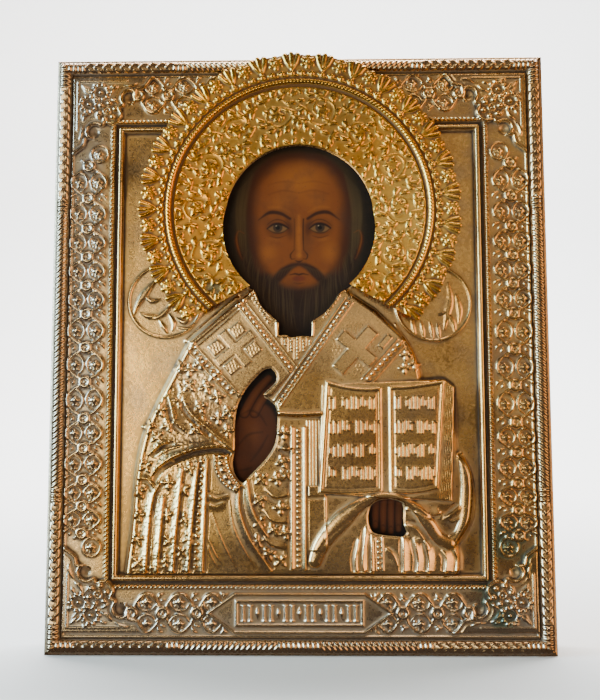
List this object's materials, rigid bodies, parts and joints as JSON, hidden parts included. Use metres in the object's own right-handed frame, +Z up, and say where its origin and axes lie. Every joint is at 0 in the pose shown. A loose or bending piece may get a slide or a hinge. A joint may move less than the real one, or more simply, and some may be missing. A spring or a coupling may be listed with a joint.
{
  "type": "icon cover",
  "caption": "Pressed gilt brass icon cover with a separate halo plate, nailed over a painted wooden panel with dovetail battens and a swinging hanging ring.",
  "frame": {"origin": "middle of the lower skirt's resting face, in the plane of the painting's front", "axes": "+Z up, -Y the way the painting faces, +X to the viewer's right"},
  "size_m": [0.2238, 0.0356, 0.2695],
  "materials": {
    "gilt_brass": "gilt brass sheet, worn and browned, bright on the raised edges",
    "bright_gilt": "brighter gilt brass plate, darkened in its recesses",
    "nail_brass": "small brass nails, dull",
    "painted_chalk": "chalk ground with dark varnished egg tempera",
    "limewood": "old planed limewood, darkened",
    "black_iron": "forged iron wire, dark and slightly rusted"
  },
  "bodies": {
    "icon": {"cover": "gilt_brass", "nimbus": "bright_gilt", "nimbus_nails": "nail_brass", "left_skirt_nails": "nail_brass", "right_skirt_nails": "nail_brass", "top_skirt_nails": "nail_brass", "painted_ground": "painted_chalk", "panel_board": "limewood", "upper_batten": "limewood", "lower_batten": "limewood", "ring_staple": "black_iron"},
    "ring": {"hanging_ring": "black_iron"}
  },
  "joints": [
    {"name": "ring_swing", "type": "hinge", "parent": "icon", "child": "ring", "pos_m": [0, 0.0254, 0.246], "axis": [1, 0, 0], "range_deg": [0, 175]}
  ]
}
